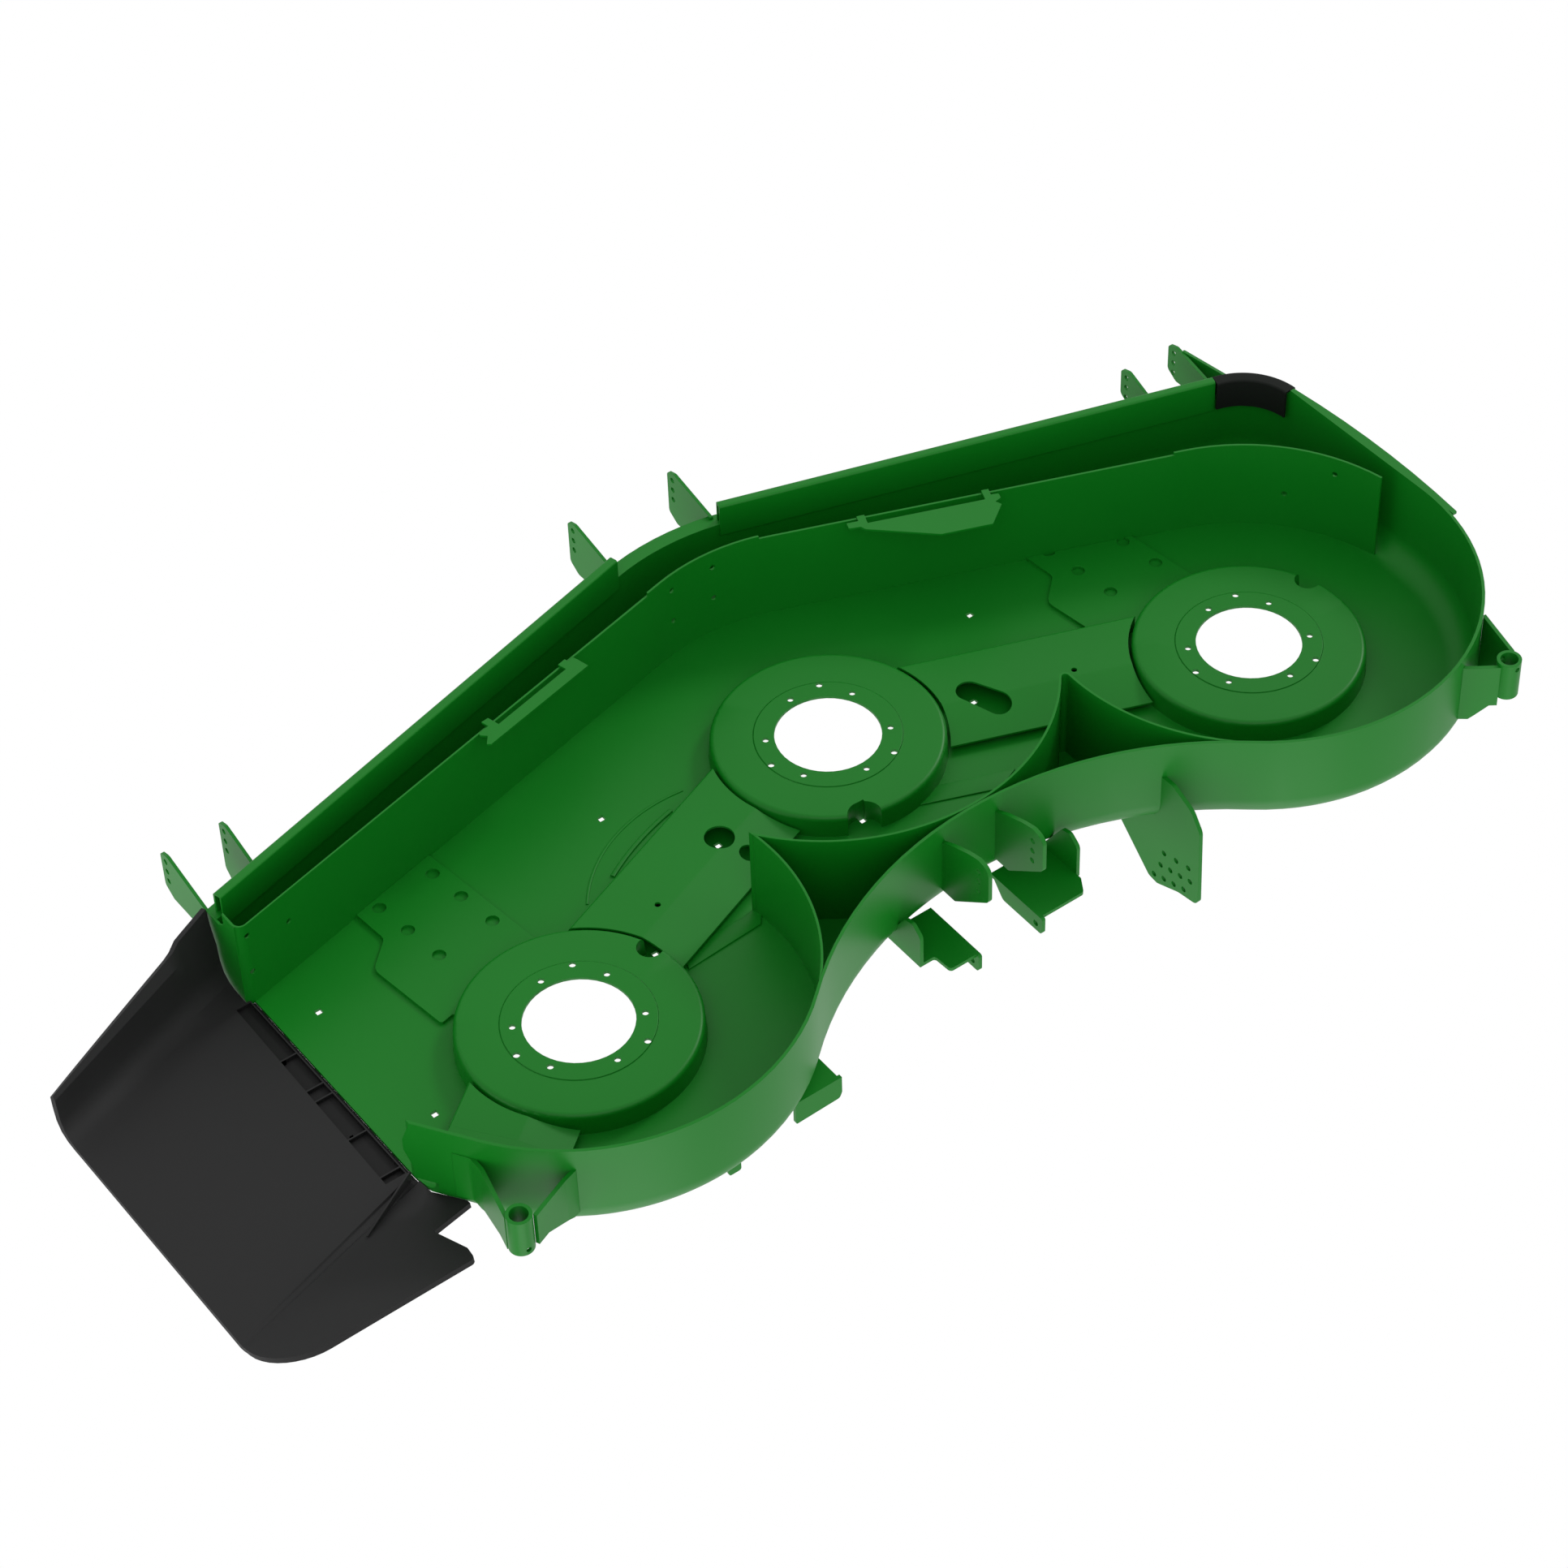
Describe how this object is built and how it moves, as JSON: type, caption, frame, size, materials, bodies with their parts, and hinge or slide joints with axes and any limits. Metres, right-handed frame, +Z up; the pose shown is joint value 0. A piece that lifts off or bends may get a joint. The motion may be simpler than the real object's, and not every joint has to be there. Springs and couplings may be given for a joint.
{
  "type": "lawn mower deck",
  "caption": "Steel rotary mower deck for blade spindles, open side down, with chamber baffles, brackets for gauge wheels and hangers, and a hinged side discharge chute.",
  "frame": {"origin": "on the centre spindle axis, at the underside of its well disc", "axes": "+X to the discharge side, +Y to the front of the mower, +Z up; the open side faces down"},
  "size_m": [2.1914, 1.0979, 0.2733],
  "materials": {
    "green_paint": "semi-gloss green paint on sheet steel",
    "black_plastic": "matt black moulded plastic",
    "plated_rod": "black painted rod"
  },
  "bodies": {
    "deck": {"baffle_clip_left": "green_paint", "baffle_clip_right": "green_paint", "chute_hinge_lug_1": "green_paint", "chute_hinge_lug_2": "green_paint", "chute_hinge_lug_3": "green_paint", "chute_hinge_lug_4": "green_paint", "chute_hinge_lug_5": "green_paint", "chute_hinge_lug_6": "green_paint", "chute_hinge_rod": "plated_rod", "corner_guard": "black_plastic", "cross_member_end": "green_paint", "cross_member_left": "green_paint", "cross_member_right": "green_paint", "deck_shell": "green_paint", "discharge_rear_baffle": "green_paint", "edge_tab": "green_paint", "front_baffle": "green_paint", "gauge_wheel_bracket_1": "green_paint", "gauge_wheel_bracket_2": "green_paint", "gauge_wheel_bracket_3": "green_paint", "gauge_wheel_bracket_4": "green_paint", "gauge_wheel_bracket_5": "green_paint", "gauge_wheel_bracket_6": "green_paint", "hanger_bracket_left": "green_paint", "hanger_bracket_right": "green_paint", "lift_plate": "green_paint", "pivot_tube_left": "green_paint", "pivot_tube_right": "green_paint", "rear_baffle": "green_paint", "rim_channel_left": "green_paint", "rim_channel_right": "green_paint", "roller_ear_left": "green_paint", "roller_ear_right": "green_paint", "side_hanger_bracket": "green_paint", "six_hole_plate_left": "green_paint", "six_hole_plate_right": "green_paint", "strap_left_front": "green_paint", "strap_left_rear": "green_paint", "strap_right_front": "green_paint", "strap_right_rear": "green_paint"},
    "chute": {"discharge_chute": "black_plastic"}
  },
  "joints": [
    {"name": "chute_hinge", "type": "hinge", "parent": "deck", "child": "chute", "pos_m": [0.926, 0, 0.055], "axis": [0, -1, 0], "range_deg": [0, 85]}
  ]
}
